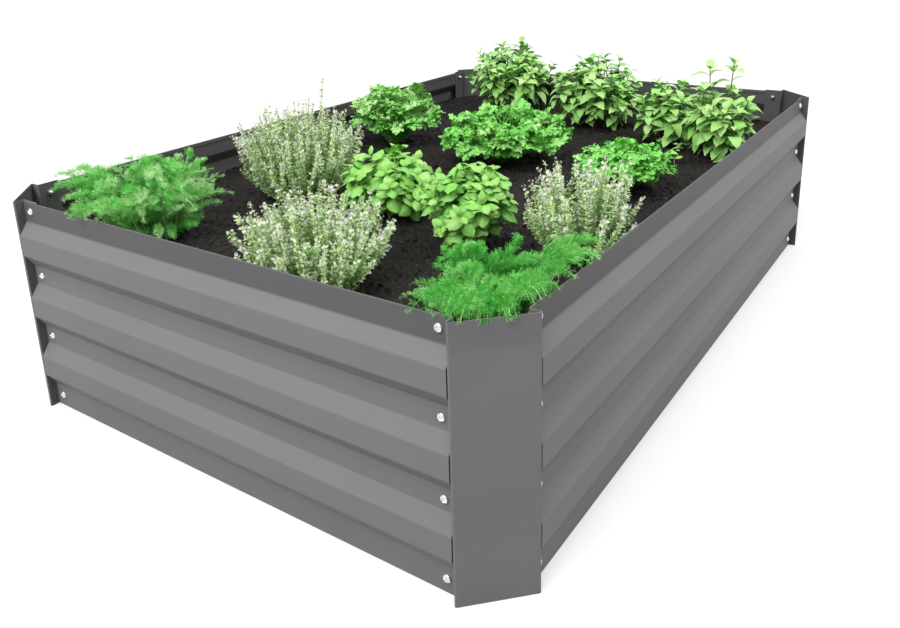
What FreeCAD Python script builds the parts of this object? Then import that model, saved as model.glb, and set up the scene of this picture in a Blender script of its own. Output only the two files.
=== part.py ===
import FreeCAD, Part
import math
import os

# Raised garden bed of folded sheet steel: four corrugated panels, four folded corner posts that
# close the ends of the corrugations, bolts and nuts, soil, and the herbs that grow in it.
# Millimetres. +Z is up, X runs along the bed, and the origin is on the ground at its centre.
# "left" and "right" are the -X and +X ends, "front" and "back" the -Y and +Y sides.

os.makedirs("parts", exist_ok=True)
Vector = FreeCAD.Vector
UP = Vector(0, 0, 1)

# ---------------------------------------------------------------- driving dimensions
LENGTH = 1200.0            # over the outer folds of the corner posts
WIDTH = 800.0
POST_HEIGHT = 300.0
PANEL_HEIGHT = 298.0

SHEET = 1.0                # painted steel sheet
BEND = 1.0                 # inside radius of a fold
SEAM = 0.1                 # paint thickness between two sheets that are bolted together
END_GAP = 0.6              # between the end of a panel and the post's fold beside it

RIB_DEPTH = 12.0           # how far a crest stands out of the panel's flat
RIB_COUNT = 3
BOTTOM_FLAT = 33.0         # heights of the corrugation's parts, from the ground up
SLOPE = 17.0
CREST = 28.0
VALLEY = 26.0
RIB_BEND = 3.0             # inside radius of the corrugation's folds
HEM_LEG = 5.0              # safety edge folded inwards along the top of each panel
HEM_GAP = 0.4
HEM_NOTCH = 34.0           # the hem stops this far from a panel's end, clear of the post's flange

CHAMFER = 62.0             # cut of the bed's corner, along each side
FLANGE = 30.0              # the post's strip behind the panel
BOLT_INSET = 15.0          # bolt axis from the panel's end
BOLT_LEVELS = (17.0, 108.0, 196.0, 286.0)
HOLE = 5.8

BOLT_DIAMETER = 5.0
BOLT_LENGTH = 10.0
HEAD_DIAMETER = 9.6
HEAD_HEIGHT = 3.0
HEAD_RIM = 0.62            # the dome's shoulder, as shares of the head's height and radius
HEAD_SHOULDER = 0.80
HEAD_FLAT = 0.38           # the crown's flat, as a share of the head's radius
NUT_ACROSS_FLATS = 8.0
NUT_HEIGHT = 4.0
NUT_BORE = 5.2

ROUND_SIDES = 10           # bolts and their holes repeat often, so their rounds have this many sides

SOIL_TOP = 236.0           # level of the soil, which its uneven top dips below and never passes
SOIL_GAP = 0.5             # kept between the soil and the sheet
SOIL_CELL = 75.0           # size of the top's facets
# unevenness of the soil's top: (height, wave length, heading in degrees, start in degrees)
SOIL_WAVES = (
    (1.3, 470.0, 20.0, 40.0),
    (1.1, 330.0, 105.0, 200.0),
    (0.8, 240.0, 65.0, 310.0),
)
BOLT_CLEAR = 1.0           # kept between the soil and the ends of the bolts

# ---------------------------------------------------------------- derived places
END_FACE = LENGTH / 2 - RIB_DEPTH          # outer face of an end panel's flats, from the centre
SIDE_FACE = WIDTH / 2 - RIB_DEPTH
END_HALF = WIDTH / 2 - CHAMFER             # half the clear run of an end panel between the posts
SIDE_HALF = LENGTH / 2 - CHAMFER
FLANGE_FACE = SHEET + SEAM                 # from a panel's outer face in to the flange
NUT_SEAT = FLANGE_FACE + SHEET


# ---------------------------------------------------------------- folded sheet
def turned_left(v):
    return Vector(-v.y, v.x, 0)


def fold_lines(points, offset, thickness, radii):
    """Edges of one face of a folded sheet: the path moved `offset` to its left, with round folds.
    radii holds the inside radius of each fold."""
    edges = []
    here = points[0] + turned_left((points[1] - points[0]).normalize()) * offset
    for before, corner, after, radius in zip(points, points[1:], points[2:], radii):
        along = (corner - before).normalize()
        onward = (after - corner).normalize()
        side = 1 if along.cross(onward).z > 0 else -1
        path_radius = radius + thickness if side > 0 else radius
        reach = path_radius * math.tan(along.getAngle(onward) / 2)
        start = corner - along * reach
        centre = start + turned_left(along) * (side * path_radius)
        own_radius = path_radius - side * offset
        first = start + turned_left(along) * offset
        last = corner + onward * reach + turned_left(onward) * offset
        middle = centre + (corner - centre).normalize() * own_radius
        if here.distanceToPoint(first) > 1e-6:
            edges.append(Part.LineSegment(here, first).toShape())
        edges.append(Part.Arc(first, middle, last).toShape())
        here = last
    end = points[-1] + turned_left((points[-1] - points[-2]).normalize()) * offset
    edges.append(Part.LineSegment(here, end).toShape())
    return edges, end


def sheet_section(path, radii, thickness=SHEET):
    """Face between a folded path and the same path `thickness` to its left, in the XY plane."""
    points = [Vector(x, y, 0) for x, y in path]
    near, near_end = fold_lines(points, 0.0, thickness, radii)
    far, far_end = fold_lines(points, thickness, thickness, radii)
    near_start = points[0]
    far_start = points[0] + turned_left((points[1] - points[0]).normalize()) * thickness
    caps = [
        Part.LineSegment(near_end, far_end).toShape(),
        Part.LineSegment(near_start, far_start).toShape(),
    ]
    return Part.Face(Part.Wire(Part.__sortEdges__(near + far + caps)))


# ---------------------------------------------------------------- panels
def rib_outline(base, inset=0.0):
    """Corrugation's outer outline from the ground to the top flat, as (distance out, height).
    base is the flats' distance from the centre; inset moves the outline inwards."""
    lean = inset * math.tan(math.atan2(RIB_DEPTH, SLOPE) / 2)
    outline = []
    foot = BOTTOM_FLAT
    for _ in range(RIB_COUNT):
        outline.append((base - inset, foot + lean))
        outline.append((base + RIB_DEPTH - inset, foot + SLOPE + lean))
        outline.append((base + RIB_DEPTH - inset, foot + SLOPE + CREST - lean))
        outline.append((base - inset, foot + 2 * SLOPE + CREST - lean))
        foot += 2 * SLOPE + CREST + VALLEY
    return outline


def stood_up(face):
    """Turns a section drawn as (distance out, height) into the XZ plane."""
    return face.rotate(Vector(0, 0, 0), Vector(1, 0, 0), 90)


def round_outline(radius, x=0.0, sides=ROUND_SIDES):
    """Regular outline about the X axis, in the plane at x. radius reaches its corners."""
    corners = []
    for i in range(sides):
        angle = 2 * math.pi * i / sides
        corners.append(Vector(x, radius * math.cos(angle), radius * math.sin(angle)))
    return Part.makePolygon(corners + corners[:1])


def rod(radius, start, end, sides=ROUND_SIDES):
    """Rod along X between two places on it."""
    return Part.Face(round_outline(radius, start, sides)).extrude(Vector(end - start, 0, 0))


def drills(face_distance, across_places):
    """Drills for a wall that faces +X: one at each bolt level, at each place across the wall."""
    tools = []
    for across in across_places:
        for z in BOLT_LEVELS:
            tool = rod(HOLE / 2, -3 * NUT_SEAT, NUT_SEAT)
            tool.translate(Vector(face_distance, across, z))
            tools.append(tool)
    return tools


def panel(face_distance, half_run):
    """Corrugated panel that faces +X, with its hem notched clear of both posts' flanges."""
    hem_width = 2 * SHEET + HEM_GAP
    hem_inner = face_distance - hem_width
    path = [(face_distance, 0.0)]
    path += rib_outline(face_distance)
    path += [
        (face_distance, PANEL_HEIGHT),
        (hem_inner, PANEL_HEIGHT),
        (hem_inner, PANEL_HEIGHT - SHEET - HEM_LEG),
    ]
    radii = [RIB_BEND] * (4 * RIB_COUNT) + [HEM_GAP / 2] * 2
    section = stood_up(sheet_section(path, radii))
    half_length = half_run - END_GAP
    section.translate(Vector(0, half_length, 0))
    body = section.extrude(Vector(0, -2 * half_length, 0))

    notch_height = HEM_LEG + 2 * SHEET + 1.0
    for side in (-1, 1):
        middle = side * (half_length - HEM_NOTCH / 2 + 0.5)
        corner = Vector(hem_inner - 1.0, middle - HEM_NOTCH / 2, PANEL_HEIGHT - notch_height)
        notch = Part.makeBox(1.0 + hem_width - SHEET, HEM_NOTCH, notch_height + 1.0, corner)
        body = body.cut(notch)
    hole_place = half_run - BOLT_INSET
    return body.cut(drills(face_distance, (-hole_place, hole_place)))


# ---------------------------------------------------------------- corner posts
def corner_post():
    """Post of the +X +Y corner: flange, return, chamfer plate, return, flange in one sheet.
    The chamfer's folds are acute, so their round tips are let out to the crests' plane."""
    fold_radius = BEND + SHEET
    tip = fold_radius * (math.tan(math.radians(67.5)) - 1)
    flange_x = END_FACE - FLANGE_FACE
    flange_y = SIDE_FACE - FLANGE_FACE
    path = [
        (SIDE_HALF - FLANGE, flange_y),
        (SIDE_HALF, flange_y),
        (SIDE_HALF, WIDTH / 2 + tip),
        (LENGTH / 2 + tip, END_HALF),
        (flange_x, END_HALF),
        (flange_x, END_HALF - FLANGE),
    ]
    mirrored = [(x, y) for x, y in reversed(path)]
    section = sheet_section(mirrored, [BEND] * 4)
    post = section.extrude(UP * POST_HEIGHT)
    end_drills = drills(END_FACE, [END_HALF - BOLT_INSET])
    side_drills = drills(SIDE_FACE, [BOLT_INSET - SIDE_HALF])
    for tool in side_drills:
        tool.rotate(Vector(0, 0, 0), UP, 90)
    return post.cut(end_drills + side_drills)


# ---------------------------------------------------------------- fasteners
def bolt():
    """Round-head bolt along X: the head's underside is at x = 0 and the shank runs to -X."""
    rim = HEAD_DIAMETER / 2
    outlines = [
        round_outline(rim, 0.0),
        round_outline(rim * HEAD_SHOULDER, HEAD_HEIGHT * HEAD_RIM),
        round_outline(rim * HEAD_FLAT, HEAD_HEIGHT),
    ]
    head = Part.makeLoft(outlines, True, True)
    return head.fuse(rod(BOLT_DIAMETER / 2, 0.0, -BOLT_LENGTH)).removeSplitter()


def nut():
    """Hexagon nut along X, seated against the inside of the post's flange."""
    corner_radius = NUT_ACROSS_FLATS / 2 / math.cos(math.radians(30))
    body = rod(corner_radius, -NUT_SEAT, -NUT_SEAT - NUT_HEIGHT, 6)
    return body.cut(rod(NUT_BORE / 2, 0.0, -NUT_SEAT - 2 * NUT_HEIGHT))


def fastener_row(piece, face_distance, across):
    """One piece at each bolt level, on a wall that faces +X, at `across` along the wall."""
    row = []
    for z in BOLT_LEVELS:
        copy = piece.copy()
        copy.translate(Vector(face_distance, across, z))
        row.append(copy)
    return Part.makeCompound(row)


# ---------------------------------------------------------------- soil
def rib_fill(face_distance, half_across):
    """Soil between two opposite walls, filling their corrugations between the flanges."""
    inset = SHEET + SOIL_GAP
    wall = [(face_distance - inset, 0.0)]
    wall += [p for p in rib_outline(face_distance, inset) if p[1] < SOIL_TOP]
    wall.append((face_distance + RIB_DEPTH - inset, SOIL_TOP))
    outline = wall + [(-x, z) for x, z in reversed(wall)]
    outline.append(outline[0])
    section = stood_up(Part.Face(Part.makePolygon([Vector(x, z, 0) for x, z in outline])))
    section.translate(Vector(0, half_across, 0))
    return section.extrude(Vector(0, -2 * half_across, 0))


def soil_level(x, y):
    """Height of the uneven soil at a place: each wave dips below its own crest."""
    level = SOIL_TOP
    for height, length, heading, start in SOIL_WAVES:
        turn = math.radians(heading)
        way = x * math.cos(turn) + y * math.sin(turn)
        level += height * (math.sin(2 * math.pi * way / length + math.radians(start)) - 1)
    return level


def soil_cells():
    """Solid under the uneven top, wider than the bed: two flat facets in each square cell."""
    across_x = range(-math.ceil(LENGTH / 2 / SOIL_CELL), math.ceil(LENGTH / 2 / SOIL_CELL) + 1)
    across_y = range(-math.ceil(WIDTH / 2 / SOIL_CELL), math.ceil(WIDTH / 2 / SOIL_CELL) + 1)
    top = {}
    for i in across_x:
        for j in across_y:
            x, y = i * SOIL_CELL, j * SOIL_CELL
            top[i, j] = Vector(x, y, soil_level(x, y))
    faces = []
    for i in across_x[:-1]:
        for j in across_y[:-1]:
            a, b, c, d = top[i, j], top[i + 1, j], top[i + 1, j + 1], top[i, j + 1]
            faces.append(Part.Face(Part.makePolygon([a, b, c, a])))
            faces.append(Part.Face(Part.makePolygon([a, c, d, a])))
    rim = [top[i, across_y[0]] for i in across_x]
    rim += [top[across_x[-1], j] for j in across_y[1:]]
    rim += [top[i, across_y[-1]] for i in reversed(across_x[:-1])]
    rim += [top[across_x[0], j] for j in reversed(across_y[1:-1])]
    ground = [Vector(p.x, p.y, 0) for p in rim]
    for k in range(len(rim)):
        quad = [ground[k - 1], ground[k], rim[k], rim[k - 1], ground[k - 1]]
        faces.append(Part.Face(Part.makePolygon(quad)))
    faces.append(Part.Face(Part.makePolygon(ground + ground[:1])))
    solid = Part.Solid(Part.makeShell(faces))
    if solid.Volume < 0:
        solid.reverse()
    return solid


def soil():
    """Soil block: cut back at the corners to leave room for the flanges, nuts and bolt ends."""
    inset = BOLT_LENGTH + BOLT_CLEAR
    clear_run = FLANGE + 2 * SOIL_GAP
    core_x = END_FACE - inset
    core_y = SIDE_FACE - inset
    chamfer_gap = (SHEET + SOIL_GAP) * math.sqrt(2)
    cut = LENGTH / 2 + END_HALF - chamfer_gap
    quarter = [(core_x, cut - core_x), (cut - core_y, core_y)]
    ring = list(quarter)
    ring += [(-x, y) for x, y in reversed(quarter)]
    ring += [(-x, -y) for x, y in quarter]
    ring += [(x, -y) for x, y in reversed(quarter)]
    ring.append(ring[0])
    outline = Part.Face(Part.makePolygon([Vector(x, y, 0) for x, y in ring]))
    core = outline.extrude(UP * SOIL_TOP)
    ends = rib_fill(END_FACE, END_HALF - clear_run)
    sides = rib_fill(SIDE_FACE, SIDE_HALF - clear_run)
    sides.rotate(Vector(0, 0, 0), UP, 90)
    block = core.fuse([ends, sides]).removeSplitter()
    return block.common(soil_cells())


# ---------------------------------------------------------------- herbs
# Each herb is a plain closed crown that stands on the soil: (x, y, radius, height of its top,
# habit), and sprigs are slender shoots that rise out of it: (x, y, tip height).
CROWN_SINK = 8.0           # a crown starts this far below the soil's level and is cut by the soil
FERNY = (0.60, 0.50)       # foot's radius and belly's height, as shares of the crown's
BUSHY = (0.52, 0.58)
LEAFY = (0.50, 0.48)
UPRIGHT = (0.48, 0.55)
HERBS = {
    "fennel_left": (-470.0, 220.0, 106.0, 346.0, FERNY),
    "fennel_front": (-446.0, -284.0, 84.0, 304.0, FERNY),
    "thyme_left": (-481.0, -75.0, 94.0, 345.0, BUSHY),
    "thyme_back": (-233.0, 183.0, 98.0, 378.0, BUSHY),
    "thyme_front": (-254.0, -304.0, 72.0, 360.0, BUSHY),
    "basil_left": (-239.0, 2.0, 71.0, 339.0, LEAFY),
    "basil_right": (-286.0, -166.0, 62.0, 342.0, LEAFY),
    "parsley_back": (108.0, 258.0, 85.0, 348.0, LEAFY),
    "parsley_middle": (93.0, 8.0, 110.0, 328.0, LEAFY),
    "parsley_front": (34.0, -241.0, 69.0, 311.0, LEAFY),
    "mint_back": (465.0, 206.0, 95.0, 384.0, UPRIGHT),
    "mint_middle": (413.0, -24.0, 86.0, 374.0, UPRIGHT),
    "mint_right": (352.0, -195.0, 54.0, 352.0, UPRIGHT),
    "mint_front": (282.0, -305.0, 60.0, 360.0, UPRIGHT),
}
SPRIGS = {
    "thyme_back": ((-205.0, 150.0, 412.0),),
    "mint_front": ((296.0, -322.0, 392.0), (270.0, -290.0, 386.0)),
}
SPRIG_ROOT = 20.0          # a sprig starts this far above the soil, inside its crown
SPRIG_FOOT = 5.0
SPRIG_TIP = 1.5
CROWN_SIDES = 12


def ring(radius, x, y, z):
    """Corners of a crown's level outline."""
    corners = []
    for i in range(CROWN_SIDES):
        angle = 2 * math.pi * i / CROWN_SIDES
        corners.append(Vector(x + radius * math.cos(angle), y + radius * math.sin(angle), z))
    return corners


def stacked(rings):
    """Solid of flat faces between level rings with equal numbers of corners."""
    faces = [Part.Face(Part.makePolygon(end + end[:1])) for end in (rings[0], rings[-1])]
    for low, high in zip(rings, rings[1:]):
        for i in range(len(low)):
            quad = [low[i - 1], low[i], high[i], high[i - 1], low[i - 1]]
            faces.append(Part.Face(Part.makePolygon(quad)))
    solid = Part.Solid(Part.makeShell(faces))
    if solid.Volume < 0:
        solid.reverse()
    return solid


def crown(x, y, radius, top, habit):
    """Crown that swells from a narrow foot to its belly and closes in a flat-topped dome."""
    foot, belly = habit
    height = top - SOIL_TOP
    shoulder = belly + 0.62 * (1 - belly)
    levels = (
        (foot, -CROWN_SINK / height),
        (foot, 0.0),
        (foot + 0.72 * (1 - foot), belly * 0.45),
        (1.0, belly),
        (0.78, shoulder),
        (0.34, 1.0),
    )
    return stacked([ring(radius * out, x, y, SOIL_TOP + height * up) for out, up in levels])


def herb(name, ground):
    body = crown(*HERBS[name])
    for x, y, tip in SPRIGS.get(name, ()):
        root = SOIL_TOP + SPRIG_ROOT
        body = body.fuse(stacked([ring(SPRIG_FOOT, x, y, root), ring(SPRIG_TIP, x, y, tip)]))
    return body.cut(ground).Solids[0]


# ---------------------------------------------------------------- assembly
def save(name, shape):
    shape.exportStep("parts/%s.step" % name)


# name of a wall: (distance of its outer face, half its run, turn about Z from facing +X)
WALLS = {
    "right": (END_FACE, END_HALF, 0),
    "back": (SIDE_FACE, SIDE_HALF, 90),
    "left": (END_FACE, END_HALF, 180),
    "front": (SIDE_FACE, SIDE_HALF, 270),
}
# the wall that each wall meets at its far and near end, as seen before it is turned
NEIGHBOURS = {
    "right": ("back", "front"),
    "back": ("left", "right"),
    "left": ("front", "back"),
    "front": ("right", "left"),
}

for wall, (distance, half, turn) in WALLS.items():
    pieces = {"panel_%s" % wall: panel(distance, half)}
    for neighbour, side in zip(NEIGHBOURS[wall], (1, -1)):
        at = side * (half - BOLT_INSET)
        pieces["bolts_%s_%s" % (wall, neighbour)] = fastener_row(bolt(), distance, at)
        pieces["nuts_%s_%s" % (wall, neighbour)] = fastener_row(nut(), distance, at)
    for name, shape in pieces.items():
        shape.rotate(Vector(0, 0, 0), UP, turn)
        save(name, shape)

post = corner_post()
across_x = post.mirror(Vector(0, 0, 0), Vector(1, 0, 0))
save("corner_back_right", post)
save("corner_back_left", across_x)
save("corner_front_right", post.mirror(Vector(0, 0, 0), Vector(0, 1, 0)))
save("corner_front_left", across_x.mirror(Vector(0, 0, 0), Vector(0, 1, 0)))

ground = soil()
save("soil", ground)
for name in HERBS:
    save(name, herb(name, ground))
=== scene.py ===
import math

import bpy
import numpy as np
from mathutils import Matrix, Vector


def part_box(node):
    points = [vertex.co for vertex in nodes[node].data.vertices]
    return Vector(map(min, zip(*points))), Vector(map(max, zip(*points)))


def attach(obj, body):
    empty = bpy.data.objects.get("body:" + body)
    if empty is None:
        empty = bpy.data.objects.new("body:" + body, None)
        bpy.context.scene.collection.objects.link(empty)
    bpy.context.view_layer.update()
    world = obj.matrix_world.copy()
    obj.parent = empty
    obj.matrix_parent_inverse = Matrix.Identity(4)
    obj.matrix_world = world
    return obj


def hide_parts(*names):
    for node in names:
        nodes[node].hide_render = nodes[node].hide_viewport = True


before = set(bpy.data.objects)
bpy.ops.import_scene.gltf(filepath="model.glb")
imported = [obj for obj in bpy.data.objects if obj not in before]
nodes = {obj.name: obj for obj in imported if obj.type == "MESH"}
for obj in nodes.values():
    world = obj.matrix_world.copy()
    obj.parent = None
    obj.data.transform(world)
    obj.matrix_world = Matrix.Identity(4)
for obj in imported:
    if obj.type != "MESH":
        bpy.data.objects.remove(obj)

MM = 0.001
scene = bpy.context.scene


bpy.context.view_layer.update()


def placed(name, data):
    """New object in the scene."""
    piece = bpy.data.objects.new(name, data)
    scene.collection.objects.link(piece)
    return piece


# -------------------------------- camera
EYE = (-1.12865, -0.70989, 0.61944)
RIGHT = (0.557789, -0.829512, -0.027928)
ABOVE = (0.252006, 0.137205, 0.957950)
AHEAD = (0.790799, 0.541372, -0.285574)
SENSOR, LENS, SHIFT = 36.0, 33.23, -0.1489

camera_data = bpy.data.cameras.new("camera")
camera_data.sensor_width = SENSOR
camera_data.lens = LENS
camera_data.shift_y = SHIFT
camera = placed("camera", camera_data)
turned = [(right, above, -ahead, eye) for right, above, ahead, eye in zip(RIGHT, ABOVE, AHEAD, EYE)]
camera.matrix_world = Matrix(turned + [(0.0, 0.0, 0.0, 1.0)])
scene.camera = camera
scene.view_settings.view_transform = "Standard"


# -------------------------------- shader helpers
class Shader:
    """The node tree of a material, or of the world, built by name."""

    def __init__(self, name, world=False):
        self.owner = bpy.data.worlds.new(name) if world else bpy.data.materials.new(name)
        self.owner.use_nodes = True
        self.tree = self.owner.node_tree
        self.tree.nodes.clear()
        self.out = self.add("OutputWorld" if world else "OutputMaterial")

    def add(self, kind, **settings):
        node = self.tree.nodes.new("ShaderNode" + kind)
        for key, value in settings.items():
            setattr(node, key, value)
        return node

    def link(self, source, target):
        self.tree.links.new(source, target)

    def feed(self, socket, value):
        if isinstance(value, bpy.types.NodeSocket):
            self.link(value, socket)
        else:
            socket.default_value = value

    def math(self, operation, first, second=0.0, clamp=False):
        node = self.add("Math", operation=operation, use_clamp=clamp)
        self.feed(node.inputs[0], first)
        self.feed(node.inputs[1], second)
        return node.outputs[0]

    def spread(self, value, span, start):
        """start + span * value"""
        node = self.add("Math", operation="MULTIPLY_ADD")
        self.link(value, node.inputs[0])
        node.inputs[1].default_value = span
        node.inputs[2].default_value = start
        return node.outputs[0]

    def slide(self, value, start, end, low, high):
        """low up to `start`, high from `end` on, and a straight slope between them."""
        node = self.add("MapRange")
        self.link(value, node.inputs["Value"])
        for key, setting in (("From Min", start), ("From Max", end), ("To Min", low), ("To Max", high)):
            node.inputs[key].default_value = setting
        return node.outputs[0]

    def parts(self, vector):
        """The X, Y and Z of a vector."""
        node = self.add("SeparateXYZ")
        self.link(vector, node.inputs[0])
        return node.outputs

    def leaf_marks(self):
        """What each vertex carries: (along, across, tint)."""
        return self.parts(self.add("Attribute", attribute_name="leaf").outputs["Vector"])

    def noise(self, scale, detail=3.0, roughness=0.5, vector=None):
        node = self.add("TexNoise")
        node.inputs["Scale"].default_value = scale
        node.inputs["Detail"].default_value = detail
        node.inputs["Roughness"].default_value = roughness
        self.link(vector or self.position(), node.inputs["Vector"])
        return node.outputs["Fac"]

    def position(self):
        if not hasattr(self, "coordinate"):
            self.coordinate = self.add("TexCoord")
        return self.coordinate.outputs["Object"]

    def stretched(self, scale):
        node = self.add("Mapping")
        node.inputs["Scale"].default_value = scale
        self.link(self.position(), node.inputs["Vector"])
        return node.outputs[0]

    def ramp(self, factor, stops):
        node = self.add("ValToRGB")
        elements = node.color_ramp.elements
        while len(elements) < len(stops):
            elements.new(0.5)
        for element, (place, colour) in zip(elements, stops):
            element.position = place
            element.color = (*colour, 1.0)
        self.link(factor, node.inputs[0])
        return node.outputs[0]

    def mixed(self, factor, first, second, blend="MIX"):
        node = self.add("Mix", data_type="RGBA", blend_type=blend)
        self.feed(node.inputs[0], factor)
        self.feed(node.inputs[6], first)
        self.feed(node.inputs[7], second)
        return node.outputs[2]

    def principled(self, colour, roughness, normal=None, **constants):
        node = self.add("BsdfPrincipled")
        self.feed(node.inputs["Base Color"], colour)
        self.feed(node.inputs["Roughness"], roughness)
        for key, value in constants.items():
            node.inputs[key.replace("_", " ")].default_value = value
        if normal is not None:
            self.link(normal, node.inputs["Normal"])
        self.link(node.outputs[0], self.out.inputs[0])
        return node

    def bump(self, height, strength, distance, normal=None):
        node = self.add("Bump")
        node.inputs["Strength"].default_value = strength
        node.inputs["Distance"].default_value = distance
        self.link(height, node.inputs["Height"])
        if normal is not None:
            self.link(normal, node.inputs["Normal"])
        return node.outputs[0]

    def lit_or_seen(self, lit, seen):
        """`lit` is what scattered light meets; `seen` shows directly, in a reflection or through glass."""
        path = self.add("LightPath").outputs
        mirrored = self.math("MAXIMUM", path["Is Camera Ray"], path["Is Glossy Ray"])
        mix = self.add("MixShader")
        self.link(self.math("MAXIMUM", mirrored, path["Is Transmission Ray"]), mix.inputs[0])
        self.link(lit, mix.inputs[1])
        self.link(seen, mix.inputs[2])
        self.link(mix.outputs[0], self.out.inputs[0])

    def glow(self, kind, strength):
        """White light of that strength from an Emission or Background node."""
        node = self.add(kind)
        node.inputs["Color"].default_value = (1, 1, 1, 1)
        self.feed(node.inputs["Strength"], strength)
        return node.outputs[0]

    def matt(self, grey):
        node = self.add("BsdfDiffuse")
        node.inputs["Color"].default_value = (grey, grey, grey, 1)
        return node.outputs[0]


def shades(*values):
    """Linear colour from 0-255 display values."""
    return tuple(((v / 255 + 0.055) / 1.055) ** 2.4 if v > 10 else v / 3295 for v in values)


# -------------------------------- studio
FLOOR_SPAN = 30.0
FLOOR_DROP = 0.0004  # the bed's foot never lies in the floor
FLOOR_BOUNCE, FLOOR_SHOWN = 0.33, 0.62  # its grey for scattered light, and as it is seen
FLOOR_GLOW = (1.2, 4.5, 0.36, 0.64)  # from and to which distance it grows, its least and most
SKY_LIGHT, SKY_SHOWN = 0.62, 1.0
LAMPS = {  # place, target, size, power
    "key": ((-2.4, 0.1, 2.9), (0.0, 0.0, 0.2), 2.4, 112.0),
    "fill": ((1.0, -1.9, 3.1), (0.3, -0.4, 0.2), 0.9, 56.0),
}


def studio():
    """White floor and sky, a large lamp over the left end and a smaller one high in front."""
    floor_mesh = bpy.data.meshes.new("floor")
    s = FLOOR_SPAN / 2
    floor_mesh.from_pydata([(-s, -s, 0), (s, -s, 0), (s, s, 0), (-s, s, 0)], [], [(0, 1, 2, 3)])
    floor = placed("floor", floor_mesh)
    floor.location.z = -FLOOR_DROP

    sh = Shader("studio_floor")
    away = sh.add("VectorMath", operation="LENGTH")
    sh.link(sh.position(), away.inputs[0])
    both = sh.add("AddShader")
    sh.link(sh.matt(FLOOR_SHOWN), both.inputs[0])
    # further from the bed the floor glows more, so that it runs out to plain white
    sh.link(sh.glow("Emission", sh.slide(away.outputs["Value"], *FLOOR_GLOW)), both.inputs[1])
    sh.lit_or_seen(sh.matt(FLOOR_BOUNCE), both.outputs[0])
    floor_mesh.materials.append(sh.owner)

    sky = Shader("studio", world=True)
    sky.lit_or_seen(sky.glow("Background", SKY_LIGHT), sky.glow("Background", SKY_SHOWN))
    scene.world = sky.owner

    for name, (place, target, size, power) in LAMPS.items():
        data = bpy.data.lights.new(name, "AREA")
        data.shape = "SQUARE"
        data.size = size
        data.energy = power
        lamp = placed(name, data)
        lamp.location = place
        aim = Vector(target) - Vector(place)
        lamp.rotation_euler = aim.to_track_quat("-Z", "Y").to_euler()


studio()


# -------------------------------- metal materials
def inward(sh):
    """1 on the faces turned towards the bed's middle, 0 on the others."""
    flat = sh.add("VectorMath", operation="MULTIPLY")
    sh.link(sh.position(), flat.inputs[0])
    flat.inputs[1].default_value = (1, 1, 0)
    face = sh.add("VectorMath", operation="DOT_PRODUCT")
    sh.link(flat.outputs[0], face.inputs[0])
    sh.link(sh.add("NewGeometry").outputs["True Normal"], face.inputs[1])
    return sh.math("LESS_THAN", face.outputs["Value"], -0.05)


FOOT_DARK_TOP = 0.045
# Painted shade: the coat is darker on the flat above the ribs, which starts between the heights below.
TOP_FLAT = (0.269, 0.272)  # the flat above the ribs starts between these heights


def painted_steel(name, top_shade_share):
    """Satin coat with faint clouds, rolled-sheet streaks and grain, darker and browner in noisy
    patches towards the foot. Painted shade darkens the flat along the top, by the share given. The
    faces turned towards the bed's middle are darker: partly the sheet's backing coat, partly painted
    shade. The folds keep their flat faces."""
    sh = Shader(name)
    cloud = sh.noise(5.0, 4.0)
    streak = sh.noise(3.0, 4.0, 0.6, vector=sh.stretched((1.0, 1.0, 60.0)))
    grain = sh.noise(900.0, 2.0)
    tone = sh.spread(cloud, 0.5, 0.25)
    base = sh.ramp(tone, [(0.25, (0.180, 0.176, 0.180)), (0.75, (0.218, 0.213, 0.218))])
    darker = sh.mixed(sh.math("MULTIPLY", streak, 0.22), base, (0.150, 0.146, 0.148, 1))
    height = sh.parts(sh.position())["Z"]
    # darker and browner in noisy patches towards the foot
    foot_dark = sh.math("MULTIPLY", sh.slide(height, 0.0, FOOT_DARK_TOP, 0.40, 0.0), sh.noise(40.0, 4.0))
    outer = sh.mixed(foot_dark, darker, (0.115, 0.105, 0.088, 1))
    # painted shade: the flat above the ribs is darker
    top_shade = sh.slide(height, *TOP_FLAT, 0.0, top_shade_share)
    shaded = sh.mixed(top_shade, outer, (0.110, 0.107, 0.109, 1))
    # darker on the faces turned towards the bed's middle: partly the sheet's backing coat, partly painted
    # shade
    colour = sh.mixed(inward(sh), shaded, (0.108, 0.103, 0.105, 1))
    rough = sh.spread(grain, 0.10, 0.46)
    waver = sh.bump(sh.noise(7.0, 1.0), 0.06, 0.01, sh.add("NewGeometry").outputs["True Normal"])
    normal = sh.bump(grain, 0.05, 0.0005, waver)
    sh.principled(colour, rough, normal, Specular_IOR_Level=0.12)
    return sh.owner


def zinc():
    """Bright zinc plate: pale metal with a soft mottle and fine turning marks."""
    sh = Shader("zinc_plate")
    mottle = sh.noise(220.0, 3.0)
    colour = sh.ramp(mottle, [(0.3, (0.62, 0.63, 0.64)), (0.7, (0.80, 0.80, 0.79))])
    rough = sh.spread(sh.noise(500.0, 2.0), 0.18, 0.17)
    sh.principled(colour, rough, sh.bump(mottle, 0.08, 0.0003), Metallic=0.9)
    return sh.owner


# the walls get most of the painted top shade, the posts little
STEEL = {"panel": painted_steel("wall_steel", 0.9), "corner": painted_steel("post_steel", 0.2)}
ZINC = zinc()
for name, node in nodes.items():
    kind = name.split("_")[0]
    if kind in STEEL:
        node.data.materials.clear()
        node.data.materials.append(STEEL[kind])


# -------------------------------- mesh gathering
def unit(v):
    return v / np.maximum(np.linalg.norm(v, axis=-1, keepdims=True), 1e-12)


def framed(along, up):
    """Frames (N, 3, 3) whose columns are along, across and face normal."""
    along = unit(along)
    across = unit(np.cross(up, along))
    return np.stack([along, across, np.cross(along, across)], axis=-1)


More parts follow.
